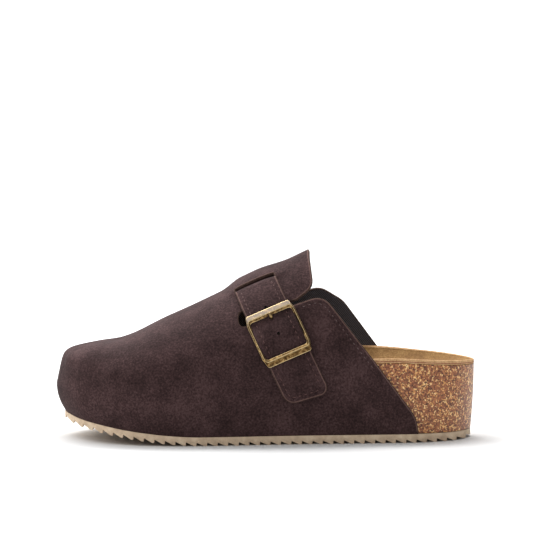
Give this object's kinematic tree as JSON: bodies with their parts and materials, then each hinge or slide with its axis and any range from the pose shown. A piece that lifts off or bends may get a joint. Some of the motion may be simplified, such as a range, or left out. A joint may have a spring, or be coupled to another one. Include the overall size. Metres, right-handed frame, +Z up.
{
  "type": "clog slipper",
  "caption": "Closed-toe platform clog slipper, left shoe, with an instep strap and pin buckle, cork wedge midsole and saw-tooth outsole.",
  "frame": {"origin": "on the ground plane under the middle of the shoe's length and width", "axes": "+Z up; -X towards the toe, +X towards the heel; -Y towards the outer (lateral) side, which carries the buckle"},
  "size_m": [0.2578, 0.1073, 0.1157],
  "materials": {
    "suede": "napped matt dark brown suede",
    "footbed_suede": "tan suede footbed lining",
    "cork": "granulated cork with a clear glossy seal",
    "sole": "matt tan sole foam",
    "brass": "brushed antique brass"
  },
  "bodies": {
    "root": {"outsole": "sole", "cork_midsole": "cork", "insole": "footbed_suede", "upper": "suede", "strap": "suede", "buckle_frame": "brass", "buckle_prong": "brass"}
  },
  "joints": []
}
